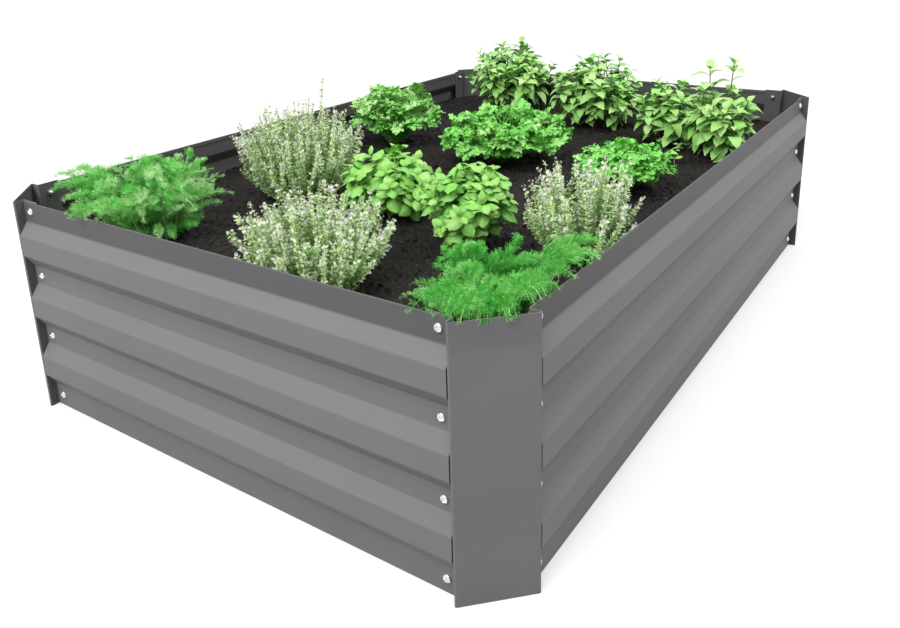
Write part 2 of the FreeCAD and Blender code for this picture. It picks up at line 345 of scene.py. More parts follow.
def ring_quads(grid):
    """Faces between successive closed rings of vertex numbers."""
    low, high = grid[..., :-1, :], grid[..., 1:, :]
    return np.stack([low, np.roll(low, -1, -1), np.roll(high, -1, -1), high], -1).reshape(-1, 4)


def sheet_quads(grid):
    """Faces of an open sheet of vertex numbers."""
    return np.stack([grid[:-1, :-1], grid[1:, :-1], grid[1:, 1:], grid[:-1, 1:]], -1).reshape(-1, 4)


class Gather:
    """Gathers many small shapes into one mesh. Each vertex carries (along, across, tint)."""

    def __init__(self):
        self.points, self.marks, self.faces, self.count = [], [], [], 0

    def add(self, points, marks, faces, slot=0):
        self.points.append(points)
        self.marks.append(marks)
        self.faces.append((faces + self.count, slot))
        self.count += len(points)

    def copies(self, shape, origins, frames, sizes, tint, slot=0):
        """One copy of shape at each origin. shape is (points, marks, [face arrays])."""
        points, marks, face_sets = shape
        n, k = len(origins), len(points)
        if n == 0:
            return
        scaled = frames * np.reshape(sizes, (n, 1, -1))
        world = np.einsum("nij,kj->nki", scaled, points) + origins[:, None, :]
        own = np.empty((n, k, 3))
        own[:, :, :2] = marks[None]
        own[:, :, 2] = np.reshape(tint, (n, 1))
        steps = (np.arange(n) * k)[:, None, None]
        base = self.count
        self.points.append(world.reshape(-1, 3))
        self.marks.append(own.reshape(-1, 3))
        for faces in face_sets:
            self.faces.append(((faces[None] + steps).reshape(-1, faces.shape[1]) + base, slot))
        self.count += n * k

    def tubes(self, curves, radii, tint, slot=0, sides=3):
        """Round stems along curves (N, K, 3), with radii (N, K)."""
        n, k, _ = curves.shape
        tangent = unit(np.gradient(curves, axis=1))
        mean = unit(curves[:, -1] - curves[:, 0])
        spare = np.where(np.abs(mean[:, 2:]) < 0.9, [[0.0, 0.0, 1.0]], [[1.0, 0.0, 0.0]])
        side = unit(np.cross(tangent, spare[:, None, :]))
        other = np.cross(tangent, side)
        angle = 2 * np.pi * np.arange(sides) / sides
        outward = side[:, :, None] * np.cos(angle)[:, None] + other[:, :, None] * np.sin(angle)[:, None]
        points = curves[:, :, None] + outward * radii[:, :, None, None]
        marks = np.zeros((n, k, sides, 3))
        marks[..., 0] = np.linspace(0, 1, k)[None, :, None]
        marks[..., 2] = np.reshape(tint, (n, 1, 1))
        quads = ring_quads(np.arange(n * k * sides).reshape(n, k, sides))
        self.add(points.reshape(-1, 3), marks.reshape(-1, 3), quads, slot)

    def build(self, name, materials, smooth=True):
        mesh = bpy.data.meshes.new(name)
        points = np.concatenate(self.points).astype(np.float32)
        mesh.vertices.add(len(points))
        mesh.vertices.foreach_set("co", points.ravel())
        totals = np.concatenate([np.full(len(f), f.shape[1]) for f, _ in self.faces])
        loops = np.concatenate([f.ravel() for f, _ in self.faces])
        slots = np.concatenate([np.full(len(f), s) for f, s in self.faces])
        mesh.loops.add(len(loops))
        mesh.loops.foreach_set("vertex_index", loops.astype(np.int32))
        mesh.polygons.add(len(totals))
        starts = np.concatenate([[0], np.cumsum(totals)[:-1]])
        for key, values in (("loop_start", starts), ("loop_total", totals), ("material_index", slots)):
            mesh.polygons.foreach_set(key, values.astype(np.int32))
        mesh.polygons.foreach_set("use_smooth", np.full(len(totals), smooth))
        for material in materials:
            mesh.materials.append(material)
        marks = mesh.attributes.new("leaf", "FLOAT_VECTOR", "POINT")
        marks.data.foreach_set("vector", np.concatenate(self.marks).astype(np.float32).ravel())
        mesh.update(calc_edges=True)
        mesh.validate()
        piece = placed(name, mesh)
        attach(piece, "root")
        return piece


def stand_in(gather, node, name, materials, smooth=True):
    piece = gather.build(name, materials, smooth)
    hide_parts(node)
    return piece


# -------------------------------- bolts and nuts
HEAD_RADIUS, HEAD_HEIGHT = 4.9 * MM, 3.1 * MM
BOLT_RADIUS, BOLT_END = 2.5 * MM, 10.0 * MM
NUT_RADIUS, NUT_HEIGHT, NUT_SEAT = 4.6 * MM, 4.0 * MM, 2.1 * MM


def circle(x, radius, angle):
    """Ring of points about X at those angles."""
    return np.stack([x + 0 * angle, radius * np.cos(angle), radius * np.sin(angle)], -1)


def lathe(profile, sides, cross=0.0):
    """Shape turned about X from (x, radius) pairs; cross is the depth of a driver's cross in it."""
    angle = 2 * np.pi * np.arange(sides) / sides
    points = []
    for x, r in profile:
        reach = x
        if cross:
            u, v = r * np.cos(angle), r * np.sin(angle)
            arm = 0.17 * HEAD_RADIUS
            slot = np.minimum(np.abs(u), np.abs(v)) < arm
            deep = np.clip((0.56 * HEAD_RADIUS - r) / (0.25 * HEAD_RADIUS), 0, 1)
            reach = x - cross * deep * slot
        points.append(circle(reach, r, angle))
    return ringed(points)


def ringed(rows):
    """Shape from successive rings of points."""
    points = np.concatenate(rows)
    return points, np.zeros((len(points), 2)), [ring_quads(np.arange(len(points)).reshape(len(rows), -1))]


def bolt_shape():
    """Domed head with a driver's cross, and a shank whose threads show past the nut."""
    # the dome's outline, as shares of the head's height and radius
    dome = [(0.0, 1.0), (0.10, 1.0), (0.34, 0.97), (0.55, 0.88), (0.72, 0.76), (0.84, 0.62)]
    dome += [(0.90, 0.54), (0.93, 0.47), (0.96, 0.40), (0.98, 0.32), (0.99, 0.24), (1.0, 0.16)]
    dome += [(1.0, 0.08), (1.0, 0.002)]
    head = lathe([(x * HEAD_HEIGHT, r * HEAD_RADIUS) for x, r in dome], 40, 1.3 * MM)
    shank = [(0.0, HEAD_RADIUS), (0.0, BOLT_RADIUS)]
    turns = 9
    start = -(NUT_SEAT + NUT_HEIGHT) + 0.3 * MM  # the thread shows from just inside the nut
    for i in range(turns):
        place = start - i * (BOLT_END + start) / turns
        shank.append((place, BOLT_RADIUS * (1.0 if i % 2 else 0.87)))
    shank += [(-BOLT_END, BOLT_RADIUS * 0.8), (-BOLT_END, 0.0001)]
    return [head, lathe(shank, 20)]


def nut_shape():
    """Hexagon with chamfered corners and a bore that opens out at its free end."""
    inner = BOLT_RADIUS * 1.04
    seat, end = -NUT_SEAT, -NUT_SEAT - NUT_HEIGHT
    sides = 24
    angle = 2 * np.pi * np.arange(sides) / sides
    flat = math.cos(math.pi / 6) * NUT_RADIUS
    hexagon = flat / np.cos((angle + np.pi / 6) % (np.pi / 3) - np.pi / 6)
    outside = ((seat, 0.90), (seat - 0.35 * MM, 1.0), (end + 0.55 * MM, 1.0), (end, 0.88))
    bore = ((end, 1.12), (end + 0.5 * MM, 1.0), (seat, 1.0))
    rows = [circle(x, np.minimum(hexagon, NUT_RADIUS * limit), angle) for x, limit in outside]
    rows += [circle(x, inner * wider, angle) for x, wider in bore]
    return [ringed(rows)]


OUTWARD = {"right": (1, 0, 0), "left": (-1, 0, 0), "back": (0, 1, 0), "front": (0, -1, 0)}
WALL_FACE = {"right": 0.588, "left": 0.588, "back": 0.388, "front": 0.388}  # the flats' outer faces
BOLT_LEVELS = np.array([17.0, 108.0, 196.0, 286.0]) * MM


def fasteners(rng):
    shapes = {"bolts": bolt_shape(), "nuts": nut_shape()}
    for name in sorted(nodes):
        kind, _, rest = name.partition("_")
        if kind not in shapes:
            continue
        wall = rest.split("_")[0]
        low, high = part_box(name)
        outward = np.array(OUTWARD[wall], float)
        middle = (np.array(low) + np.array(high)) / 2
        place = middle * (1 - np.abs(outward)) + outward * WALL_FACE[wall]
        count = len(BOLT_LEVELS)
        origins = np.tile(place, (count, 1))
        origins[:, 2] = BOLT_LEVELS
        spin = rng.uniform(0, 2 * np.pi, count)
        up = np.stack([np.sin(spin) * outward[1], -np.sin(spin) * outward[0], np.cos(spin)], -1)
        frames = framed(np.tile(outward, (count, 1)), up)
        gather = Gather()
        for shape in shapes[kind]:
            gather.copies(shape, origins, frames, np.ones((count, 1)), rng.uniform(0, 1, count))
        piece = stand_in(gather, name, name + "_detail", [ZINC])
        piece.data.set_sharp_from_angle(angle=math.radians(35))


fasteners(np.random.default_rng(3))

# -------------------------------- plant materials
def foliage(name, colours, roughness=0.45, rib=None, rib_share=0.4, specular=0.35):
    """Leaf surface in four display colours, dark to palest: tint by leaf, which carries the crowns'
    painted light and shade, mottling and, where rib is given, a paler midrib and veins."""
    sh = Shader(name)
    mark = sh.leaf_marks()
    mottle = sh.spread(sh.noise(260.0, 4.0), 0.30, -0.15)
    stops = [(place, shades(*colour)) for place, colour in zip((0.0, 0.45, 0.8, 1.0), colours)]
    colour = sh.ramp(sh.math("ADD", mottle, mark["Z"], clamp=True), stops)
    normal = None
    if rib:
        across = sh.math("ABSOLUTE", mark["Y"])
        midrib = sh.math("SUBTRACT", 1.0, sh.math("MULTIPLY", across, 9.0), clamp=True)
        along = sh.math("MULTIPLY", mark["X"], 5.0)
        slant = sh.math("SUBTRACT", along, sh.math("MULTIPLY", across, 2.2))
        wave = sh.math("ABSOLUTE", sh.math("SINE", sh.math("MULTIPLY", slant, math.pi)))
        vein = sh.math("POWER", sh.math("SUBTRACT", 1.0, wave), 3.0)
        lines = sh.math("MAXIMUM", midrib, sh.math("MULTIPLY", vein, 0.5))
        colour = sh.mixed(sh.math("MULTIPLY", lines, rib_share), colour, (*shades(*rib), 1))
        normal = sh.bump(sh.math("SUBTRACT", 1.0, lines), 0.35, 0.0006)
    rough = sh.spread(sh.noise(500.0, 2.0), 0.2, roughness - 0.1)
    sh.principled(colour, rough, normal, Specular_IOR_Level=specular)
    return sh.owner


FENNEL = foliage("fennel_leaf", ((62, 160, 56), (106, 206, 90), (144, 218, 120), (182, 228, 156)), 0.5)
FENNEL_STEM = foliage("fennel_stem", ((96, 176, 70), (140, 204, 104), (176, 220, 134), (208, 232, 172)))
THYME = foliage("thyme_leaf", ((130, 170, 94), (186, 220, 150), (218, 238, 186), (234, 242, 210)), 0.55)
THYME_STEM = foliage("thyme_stem", ((130, 124, 76), (164, 168, 100), (184, 196, 124), (204, 214, 150)), 0.6)
THYME_FLOWER = foliage("thyme_flower", ((224, 214, 222), (240, 236, 240), (250, 248, 250), (252, 252, 252)))
BASIL = foliage("basil_leaf", ((86, 162, 58), (132, 198, 90), (160, 206, 112), (188, 214, 138)),
                0.36, (180, 218, 130), 0.45)
BASIL_STEM = foliage("basil_stem", ((120, 178, 72), (150, 204, 96), (180, 216, 120), (200, 226, 144)))
PARSLEY = foliage("parsley_leaf", ((76, 170, 50), (114, 204, 80), (144, 212, 108), (178, 222, 144)),
                  0.38, (150, 224, 120), 0.25, 0.4)
PARSLEY_STEM = foliage("parsley_stem", ((84, 160, 54), (120, 190, 76), (150, 206, 100), (176, 216, 124)))
MINT = foliage("mint_leaf", ((100, 170, 64), (152, 208, 110), (184, 220, 142), (206, 230, 172)),
               0.42, (178, 220, 140), 0.35, 0.4)
MINT_STEM = foliage("mint_stem", ((66, 42, 46), (96, 68, 66), (118, 108, 84), (132, 150, 96)))
FADED_LEAF = foliage("faded_leaf", ((206, 150, 52), (228, 178, 76), (236, 198, 104), (240, 214, 140)),
                     0.45, (240, 220, 160))


# -------------------------------- leaf shapes
def leaf_grid(steps, half_steps, half_width, lift):
    """Leaf over a grid: half_width(u) and height lift(u, v), u along and v across."""
    u = np.linspace(0, 1, steps)
    v = np.linspace(-1, 1, 2 * half_steps + 1)
    uu, vv = np.meshgrid(u, v, indexing="ij")
    points = np.stack([uu, vv * half_width(uu), lift(uu, vv)], -1).reshape(-1, 3)
    marks = np.stack([uu, vv], -1).reshape(-1, 2)
    return points, marks, [sheet_quads(np.arange(uu.size).reshape(uu.shape))]


def stalked(u, stalk, foot, point, half_width):
    """Half width of a leaf whose blade starts after a thin stalk; foot and point shape its ends."""
    blade_u = np.clip((u - stalk) / (1 - stalk), 0, 1)
    widest = foot / (foot + point)
    full = widest ** foot * (1 - widest) ** point
    return 0.022 + half_width * blade_u ** foot * (1 - blade_u) ** point / full


def blade(half_width, rise=0.0):
    """Small pointed leaf, folded along its midrib."""
    points = np.array([(0, 0, 0), (0.42, half_width, 0.05), (0.5, 0, -0.02),
                       (0.42, -half_width, 0.05), (1, 0, rise)], float)
    marks = np.array([(0, 0), (0.4, 1), (0.5, 0), (0.4, -1), (1, 0)], float)
    return points, marks, [np.array([(0, 2, 1), (0, 3, 2), (1, 2, 4), (3, 4, 2)])]


def flower():
    """Tiny two-lipped flower: five petals, the lowest the longest, on a narrow throat."""
    points, faces = [], []
    for i in range(5):
        turn = 2 * np.pi * i / 5
        reach = 1.0 if i else 1.3
        for r, half, x in ((0.18, 0.08, 0.7), (reach, 0.36, 0.95)):
            for side in (-1, 1):
                angle = turn + side * half
                points.append((x, r * np.cos(angle), r * np.sin(angle)))
        b = 4 * i
        faces.append((b, b + 1, b + 3, b + 2))
    b = len(points)
    for x, r in ((0.0, 0.14), (0.75, 0.24)):
        points += [(x, r * np.cos(a), r * np.sin(a)) for a in (0.0, 2.1, 4.2)]
    faces += [(b + i, b + (i + 1) % 3, b + 3 + (i + 1) % 3, b + 3 + i) for i in range(3)]
    points = np.array(points, float)
    return points, np.zeros((len(points), 2)), [np.array(faces)]


def basil_leaf(rng):
    """Broad spoon-shaped leaf, puckered between its veins."""
    curl, droop, twist = rng.uniform(0.25, 0.5), rng.uniform(0.15, 0.6), rng.uniform(-0.08, 0.08)
    broad = rng.uniform(0.33, 0.39)

    def lift(u, v):
        arch = np.sin(np.pi * u)
        pucker = 0.03 * np.sin(u * 5 * np.pi) * np.abs(v)
        return 0.16 * arch - curl * v * v * arch * 0.5 - droop * u * u * 0.55 + pucker + twist * v * u

    return leaf_grid(10, 3, lambda u: stalked(u, 0.10, 0.55, 0.80, broad), lift)


def mint_leaf(rng):
    """Pointed oval leaf with a toothed edge, folded a little and hanging at its tip."""
    fold, droop, broad = rng.uniform(0.05, 0.3), rng.uniform(0.25, 0.8), rng.uniform(0.29, 0.35)
    steps, half_steps = 11, 2
    points, marks, faces = leaf_grid(
        steps, half_steps,
        lambda u: stalked(u, 0.08, 0.60, 0.90, broad),
        lambda u, v: (fold * np.abs(v) * 0.35 + 0.12) * np.sin(np.pi * u) - droop * u * u * 0.6)
    notch = 1 - 0.14 * (np.arange(steps) % 2)
    across = 2 * half_steps + 1
    for side in (0, across - 1):
        points[np.arange(steps) * across + side, 1] *= notch
    return points, marks, faces


def parsley_leaflet(rng):
    """Wedge-shaped leaflet cut into three toothed lobes, cupped and curled."""
    half = [(0.0, 0.04), (0.34, 0.40), (0.50, 0.62), (0.62, 0.44), (0.66, 0.24), (0.88, 0.28)]
    outline = np.array(half + [(1.04, 0.0)] + [(x, -y) for x, y in reversed(half)])
    cup = rng.uniform(-0.35, 0.5)
    points = np.concatenate([outline, [(0.42, 0.0)]])
    curl = rng.uniform(0.0, 0.45)
    z = cup * points[:, 1] ** 2 - curl * points[:, 0] ** 2 + rng.uniform(-0.08, 0.08, len(points))
    z[-1] -= 0.06
    marks = np.column_stack([points[:, 0], points[:, 1] / 0.6])
    k = len(outline)
    i = np.arange(k)
    fans = np.stack([i, (i + 1) % k, np.full(k, k)], -1)
    return np.column_stack([points, z]), marks, [fans]


def pinna(rng):
    """Feathery side leaf: a thread midrib with pairs of forked threads to both sides."""
    pairs = 3
    points, faces = [(0, -0.03, 0), (0, 0.03, 0), (1, 0.015, 0.05), (1, -0.015, 0.05)], [(0, 1, 2, 3)]

    def thread(start, direction, half):
        across = np.cross(direction, (0.2, -0.3, 1.0))
        across = across / np.linalg.norm(across) * half
        b = len(points)
        end = start + direction
        points.extend([start - across, start + across, end + across * 0.5, end - across * 0.5])
        faces.append((b, b + 1, b + 2, b + 3))

    for i in range(pairs):
        u = 0.16 + 0.80 * i / pairs
        reach = 0.56 * math.sin(math.pi * min(0.93, 0.25 + 0.70 * u)) + 0.10
        for side in (-1, 1):
            heading = np.array((rng.uniform(0.5, 0.9), side, rng.uniform(-0.5, 0.7)))
            heading = heading / np.linalg.norm(heading) * reach
            start = np.array((u, 0.0, 0.05 * u))
            thread(start, heading, 0.036)
            spread = np.array((0.9, side * rng.uniform(-0.3, 0.5), rng.uniform(-0.6, 0.7)))
            thread(start + heading * 0.5, spread * reach * 0.5, 0.032)
    points = np.array(points, float)
    return points, points[:, :2].copy(), [np.array(faces)]


# -------------------------------- plant habits
SOIL_TOP = 236.0  # millimetres, as are all places below
FERNY, BUSHY, LEAFY, UPRIGHT = 0.50, 0.58, 0.48, 0.55  # height of the widest part, as a share
HERBS = {  # x, y, radius, top, widest part
    "fennel_left": (-470, 220, 106, 346, FERNY), "fennel_front": (-446, -284, 84, 304, FERNY),
    "thyme_left": (-481, -75, 94, 345, BUSHY), "thyme_back": (-233, 183, 98, 378, BUSHY),
    "thyme_front": (-254, -304, 72, 360, BUSHY),
    "basil_left": (-239, 2, 71, 339, LEAFY), "basil_right": (-286, -166, 62, 342, LEAFY),
    "parsley_back": (108, 258, 85, 348, LEAFY), "parsley_middle": (93, 8, 110, 328, LEAFY),
    "parsley_front": (34, -241, 69, 311, LEAFY),
    "mint_back": (465, 206, 95, 384, UPRIGHT), "mint_middle": (413, -24, 86, 374, UPRIGHT),
    "mint_right": (352, -195, 54, 352, UPRIGHT), "mint_front": (282, -305, 60, 360, UPRIGHT),
}
UP = np.array((0.0, 0.0, 1.0))
GOLDEN_ANGLE = 2.399963
WALL_TOP = 300.0 * MM
INNER_X, INNER_Y = 584.5 * MM, 384.5 * MM  # leaves bend at the walls' inner faces
SOIL_TOUCH = 234.0 * MM  # and lie on the soil


def keep_inside(gather):
    """Bends what has been gathered so far back from the walls and up from the soil."""
    for points in gather.points:
        low = points[:, 2] < WALL_TOP
        points[low, 0] = np.clip(points[low, 0], -INNER_X, INNER_X)
        points[low, 1] = np.clip(points[low, 1], -INNER_Y, INNER_Y)
        points[:, 2] = np.maximum(points[:, 2], SOIL_TOUCH)


class Crown:
    """The oval space of one herb, and the stems that fill it."""

    def __init__(self, name):
        x, y, radius, top, belly = HERBS[name]
        self.root = np.array((x, y, SOIL_TOP)) * MM
        self.radius = radius * MM
        self.height = (top - SOIL_TOP) * MM
        self.belly = belly
        self.rng = np.random.default_rng(sum(ord(c) * (i + 3) for i, c in enumerate(name)))

    def count(self, number, radius):
        """How many stems, given the number that suits a crown of that radius."""
        return int(number * (self.radius / MM / radius) ** 2)

    def tips(self, count, polar, reach):
        """Places near the crown's surface, evenly spread, up to the angle `polar` from the top."""
        rng = self.rng
        lean = np.arccos(rng.uniform(np.cos(polar), 1.0, count))
        turn = GOLDEN_ANGLE * np.arange(count) + rng.uniform(0, 0.9, count)
        share = rng.uniform(*reach, count)
        rise = np.where(np.cos(lean) > 0, (1 - self.belly) * np.cos(lean), self.belly * np.cos(lean))
        out = self.radius * np.sin(lean) * share
        height = self.height * (self.belly + rise * share)
        return self.root + np.stack([out * np.cos(turn), out * np.sin(turn), height], -1)

    def feet(self, tips, share):
        """Where the stems to those tips leave the soil."""
        flat = (tips - self.root) * (share, share, 0)
        noise = self.rng.normal(0, 0.05 * self.radius, flat.shape) * (1, 1, 0)
        return self.root + flat + noise - UP * 2 * MM

    def middles(self, feet, tips, out, up, wobble=0.06):
        """Control points of the stems, as shares of the way out and up."""
        middle = feet + (tips - feet) * (out, out, up)
        return middle + self.rng.normal(0, wobble * self.radius, middle.shape)

    def with_sprigs(self, curves, sprigs, out, bend):
        """Adds single tall sprigs (millimetres). They leave the soil at the share `out` of the way."""
        if not sprigs:
            return curves
        tall = np.array(sprigs, float) * MM
        foot = self.root + (tall - self.root) * out
        sprig = (foot, foot * (1 - bend) + tall * bend, tall)
        return tuple(np.concatenate(pair) for pair in zip(curves, sprig))

    def painted_light(self, places):
        """Painted light and shade for the leaves' tint: 0 deep inside or low in the crown, 1 at its upper
        surface.
        """
        d = (np.reshape(places, (-1, 3)) - self.root) / (self.radius, self.radius, self.height)
        d[:, 2] -= self.belly
        lit = np.clip(0.25 + 0.55 * np.linalg.norm(d, axis=1) + 0.45 * d[:, 2], 0, 1)
        return lit.reshape(np.shape(places)[:-1])


def bezier(a, b, c, t):
    """Points and headings of quadratic curves a-b-c (N, 3) at t (N, K)."""
    a, b, c, t = a[:, None], b[:, None], c[:, None], t[..., None]
    points = (1 - t) ** 2 * a + 2 * t * (1 - t) * b + t * t * c
    heading = unit(2 * (1 - t) * (b - a) + 2 * t * (c - b))
    return points, heading


def stems(gather, rng, curves, steps, foot, tip, sides=3):
    """Tapering stems along the curves; foot and tip are radii in millimetres."""
    n = len(curves[0])
    line = bezier(*curves, np.tile(np.linspace(0, 1, steps), (n, 1)))[0]
    radii = np.tile(np.linspace(foot, tip, steps) * MM, (n, 1))
    gather.tubes(line, radii, rng.uniform(0, 1, n), 1, sides)


def sideways(heading, angle):
    """Unit vectors square to each heading, at that angle about it."""
    spare = np.where(np.abs(heading[..., 2:]) < 0.9, UP, np.array((1.0, 0.0, 0.0)))
    first = unit(np.cross(heading, spare))
    second = np.cross(heading, first)
    return first * np.cos(angle)[..., None] + second * np.sin(angle)[..., None]


def pairs_on(rng, curves, stations, flare, step=np.pi / 2):
    """Opposite leaves at stations (N, K) of the stems: places, directions and upward sides."""
    points, heading = bezier(*curves, stations)
    n, k = stations.shape
    turn = rng.uniform(0, 2 * np.pi, (n, 1)) + np.arange(k)[None] * step + rng.normal(0, 0.2, (n, k))
    side = sideways(heading, turn)
    flare = np.broadcast_to(flare, (n, k))[..., None]
    places = np.stack([points, points], 2)
    directions = np.stack([heading * np.cos(flare) + side * np.sin(flare),
                           heading * np.cos(flare) - side * np.sin(flare)], 2)
    ups = np.stack([heading, heading], 2)
    return places, directions, ups


def strew(gather, rng, shapes, places, directions, ups, sizes, tint, slot=0, tilt=0.12):
    """Shares the copies out among a few variants of a shape. sizes are millimetres."""
    places, directions, ups = (np.reshape(v, (-1, 3)) for v in (places, directions, ups))
    sizes = np.broadcast_to(sizes, places.shape[:1]) if np.ndim(sizes) == 0 else np.ravel(sizes)
    tint = np.clip(np.ravel(tint), 0, 1)
    frames = framed(directions, ups + rng.normal(0, tilt, ups.shape))
    which = rng.integers(0, len(shapes), len(places))
    for i, shape in enumerate(shapes):
        m = which == i
        gather.copies(shape, places[m], frames[m], sizes[m][:, None] * MM, tint[m], slot)


# -------------------------------- the herbs
def thyme(name, sprigs=()):
    """Wiry cushion: rising shoots with tiny paired leaves and loose spikes of white flowers."""
    crown = Crown(name)
    rng = crown.rng
    g = Gather()
    tips = crown.tips(crown.count(290, 94), 2.15, (0.55, 1.08))
    tips[::14, 2] += rng.uniform(6, 18, len(tips[::14])) * MM  # a few shoots stand out
    feet = crown.feet(tips, 0.34)
    curves = (feet, crown.middles(feet, tips, 0.62, 0.36, 0.08), tips)
    curves = crown.with_sprigs(curves, sprigs, (0.5, 0.5, 0.2), 0.5)
    n = len(curves[0])
    stems(g, rng, curves, 7, 0.75, 0.35)

    k = 14
    shapes = [blade(0.30), blade(0.35, -0.12), blade(0.26, 0.1)]
    for flare, scale in ((1.05, 1.0), (0.7, 0.8), (1.3, 0.7)):
        stations = np.linspace(0.22, 0.97, k)[None] + rng.normal(0, 0.012, (n, k))
        places, directions, ups = pairs_on(rng, curves, stations, flare)
        sizes = np.linspace(7.6, 5.2, k)[None, :, None] * scale * rng.uniform(0.8, 1.2, (n, k, 2))
        tint = crown.painted_light(places) * 0.75 + rng.uniform(-0.1, 0.22, (n, k, 2))
        strew(g, rng, shapes, places, directions, ups, sizes, tint)

    whorls = 7
    low = rng.uniform(0.66, 0.84, (n, 1))
    stations = low + (1.0 - low) * np.linspace(0, 1, whorls)[None]
    in_bloom = rng.uniform(0, 1, (n, 1, 1)) < 0.8
    for _ in range(2):
        places, directions, ups = pairs_on(rng, curves, stations, 1.05, 2.1)
        keep = in_bloom & (rng.uniform(0, 1, (n, whorls, 2)) < 0.42)
        away = places[keep] + directions[keep] * rng.uniform(0.8, 2.2, (keep.sum(), 1)) * MM
        size = rng.uniform(1.3, 2.0, keep.sum())
        strew(g, rng, [flower()], away, directions[keep], ups[keep], size, rng.uniform(0, 1, keep.sum()), 2)
    keep_inside(g)
    stand_in(g, name, name + "_plant", [THYME, THYME_STEM, THYME_FLOWER], False)


FROND_STATIONS = 20


def fronds(gather, crown, curves, shapes, tone, sink=-1.0):
    """Stems set all round with feathery side leaves, of a paler or darker tone. sink is the least
    upward share of a leaf's direction."""
    rng = crown.rng
    n = len(curves[0])
    stems(gather, rng, curves, 9, 0.8, 0.3)
    k = FROND_STATIONS
    reach = 9.5 * np.sin(np.pi * np.linspace(0.25, 0.86, k)) ** 0.8
    frond = rng.uniform(-0.3, 0.3, (n, 1, 1))
    bare = 0.10 + 0.5 * rng.uniform(0.0, 1.0, (n, 1, 1)) ** 2
    for offset in (0.0, 0.02):
        stations = np.linspace(0.25, 0.98, k)[None] + offset + rng.normal(0, 0.008, (n, k))
        places, directions, ups = pairs_on(rng, curves, stations, 0.85, 2.1)
        directions[..., 2] = np.maximum(directions[..., 2], sink)
        keep = rng.uniform(0, 1, (n, k, 2)) > bare + 0.45 * (offset > 0)
        sizes = reach[None, :, None] * rng.uniform(0.7, 1.2, (n, k, 2))
        tint = tone + crown.painted_light(places) * 0.62 + frond + rng.uniform(-0.12, 0.14, (n, k, 2))
        strew(gather, rng, shapes, places[keep], directions[keep], ups[keep], sizes[keep], tint[keep])


def fennel(name, tone, loose):
    """Arching feathery fronds. Those to the loose tips (millimetres) hang over the bed's edge."""
    crown = Crown(name)
    rng = crown.rng
    g = Gather()
    shapes = [pinna(rng) for _ in range(6)]
    tips = crown.tips(crown.count(132, 100), 2.5, (0.55, 1.06))
    tips[:, :2] += rng.normal(0, 0.10 * crown.radius, (len(tips), 2))
    feet = crown.feet(tips, 0.22)
    middle = crown.middles(feet, tips, 0.22, 1.12, 0.13)
    fronds(g, crown, (feet, middle, tips), shapes, tone)
    keep_inside(g)
    ends = np.repeat(np.array(loose, float) * MM, 3, 0)
    share = np.tile((1.0, 0.92, 0.82), len(loose))[:, None] * rng.uniform(0.97, 1.0, (len(ends), 1))
    jitter = rng.normal(0, 5 * MM, (len(ends), 2)) * np.where(share < 0.95, 1.4, 0.6)
    ends[:, :2] = crown.root[:2] + (ends[:, :2] - crown.root[:2]) * share + jitter
    feet = crown.feet(ends, 0.35)
    middle = feet + (ends - feet) * (0.55, 0.55, 1.0) + UP * 24 * MM
    fronds(g, crown, (feet, middle, ends), shapes, tone - 0.26, -0.15)
    stand_in(g, name, name + "_plant", [FENNEL, FENNEL_STEM], False)


def basil(name, loose=()):
    """Mound of broad bright leaves in crossed pairs; a few shoots reach the loose tips (millimetres)."""
    crown = Crown(name)
    rng = crown.rng
    g = Gather()
    shapes = [basil_leaf(rng) for _ in range(7)]
    tips = crown.tips(crown.count(40, 66), 2.0, (0.55, 0.94))
    if loose:
        tips = np.concatenate([tips, np.array(loose, float) * MM])
    feet = crown.feet(tips, 0.30)
    curves = (feet, crown.middles(feet, tips, 0.40, 0.70, 0.05), tips)
    n = len(tips)
    stems(g, rng, curves, 7, 1.5, 0.9, 5)
    stations = np.array((0.36, 0.56, 0.74, 0.90, 0.99))[None] + rng.normal(0, 0.02, (n, 5))
    places, directions, ups = pairs_on(rng, curves, stations, np.array((1.4, 1.35, 1.25, 1.1, 0.8)))
    sizes = np.array((23, 26, 27, 24, 17))[None, :, None] * rng.uniform(0.75, 1.15, (n, 5, 2))
    tint = crown.painted_light(places) * 0.62 + rng.uniform(-0.12, 0.28, (n, 5, 2))
    outward = (places - crown.root) / crown.radius
    strew(g, rng, shapes, places, directions - UP * 0.15, ups * 0.3 + UP * 0.7 + outward * 0.35, sizes, tint)
    keep_inside(g)
    stand_in(g, name, name + "_plant", [BASIL, BASIL_STEM])


